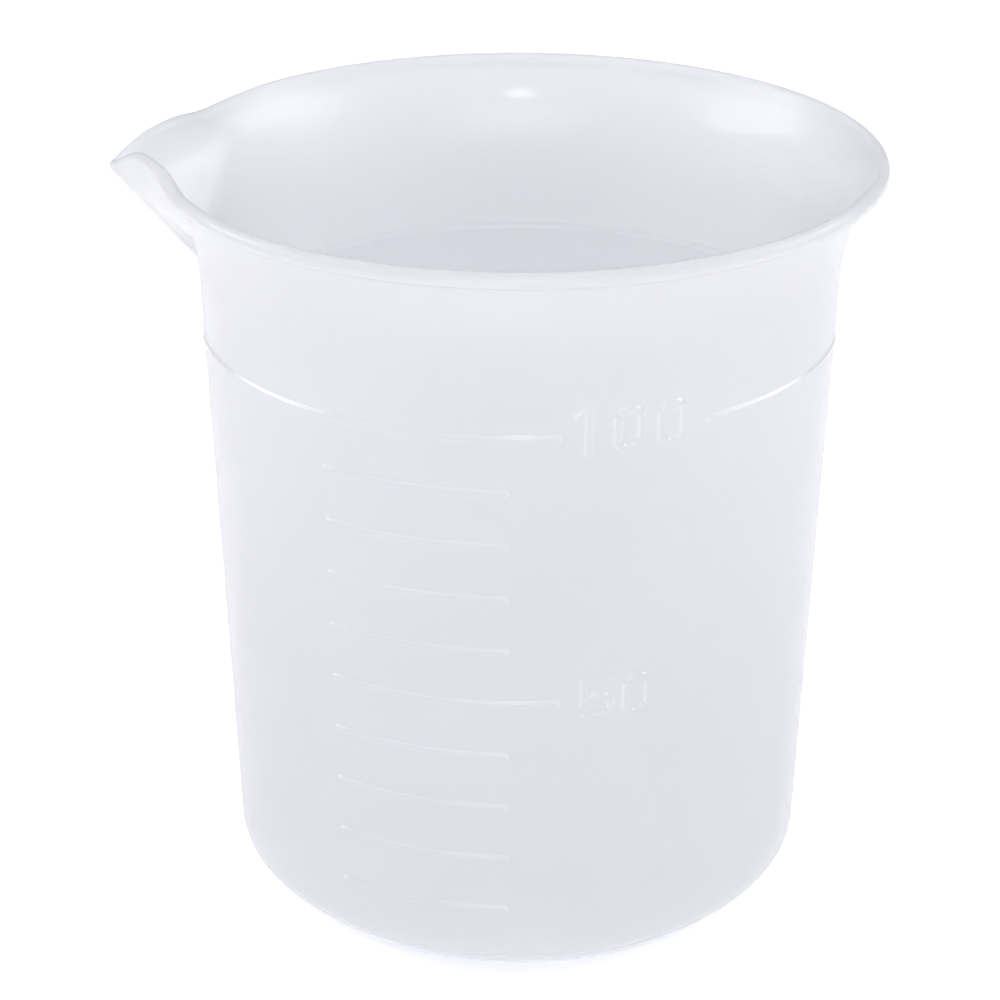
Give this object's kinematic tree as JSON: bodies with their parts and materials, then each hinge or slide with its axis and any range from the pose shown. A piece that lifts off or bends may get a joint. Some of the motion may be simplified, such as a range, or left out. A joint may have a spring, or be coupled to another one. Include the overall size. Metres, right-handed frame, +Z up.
{
  "type": "graduated pouring beaker",
  "caption": "Low-form translucent plastic beaker with a flared rim, a V-shaped pouring spout, a foot ring and raised volume graduations.",
  "frame": {"origin": "on the beaker's axis, in the plane of the foot ring's resting face", "axes": "+Z up along the axis out of the mouth, -X towards the spout's tip, -Y the side with the graduations"},
  "size_m": [0.0655, 0.062, 0.0671],
  "materials": {
    "polypropylene": "natural translucent polypropylene, satin"
  },
  "bodies": {
    "root": {"base_floor": "polypropylene", "foot_ring": "polypropylene", "body_wall": "polypropylene", "flared_collar": "polypropylene", "rim_bead": "polypropylene", "pouring_spout": "polypropylene", "graduation_ring_100ml": "polypropylene", "graduation_mark_10ml": "polypropylene", "graduation_mark_20ml": "polypropylene", "graduation_mark_30ml": "polypropylene", "graduation_mark_40ml": "polypropylene", "graduation_mark_50ml": "polypropylene", "graduation_mark_60ml": "polypropylene", "graduation_mark_70ml": "polypropylene", "graduation_mark_80ml": "polypropylene", "graduation_mark_90ml": "polypropylene", "numeral_100_digit_1": "polypropylene", "numeral_100_digit_2": "polypropylene", "numeral_100_digit_3": "polypropylene", "numeral_50_digit_1": "polypropylene", "numeral_50_digit_2": "polypropylene"}
  },
  "joints": []
}
